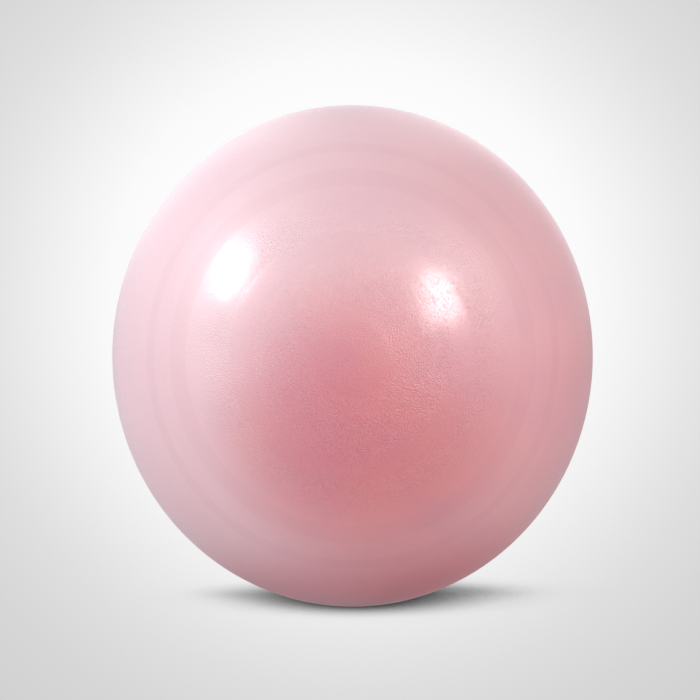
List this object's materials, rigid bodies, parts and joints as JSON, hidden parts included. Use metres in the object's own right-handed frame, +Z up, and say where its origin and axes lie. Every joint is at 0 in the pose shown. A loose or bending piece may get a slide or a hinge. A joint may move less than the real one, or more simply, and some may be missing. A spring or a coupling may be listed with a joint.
{
  "type": "exercise ball",
  "caption": "Large blown-up exercise ball with shallow raised rings round both poles, a bonded valve seat at the rear pole and a pull-out air plug.",
  "frame": {"origin": "on the floor, at the middle of the flat patch that the ball rests on, under the ball's centre", "axes": "+Z up; the plain front pole looks towards -Y and is tipped up 4 degrees; the rear pole, with the valve and its plug, looks towards +Y; +X is to the right as the front pole is looked at"},
  "size_m": [0.6256, 0.626, 0.65],
  "materials": {
    "pearl_vinyl_skin": "satin",
    "soft_vinyl_seat": "satin",
    "white_plug": "satin"
  },
  "bodies": {
    "ball": {"ball_shell": "pearl_vinyl_skin", "valve_seat": "soft_vinyl_seat"},
    "plug": {"air_plug": "white_plug"}
  },
  "joints": [
    {"name": "plug_pull", "type": "slide", "parent": "ball", "child": "plug", "axis": [0, 0.9976, -0.0698], "range_m": [0, 0.06]}
  ]
}
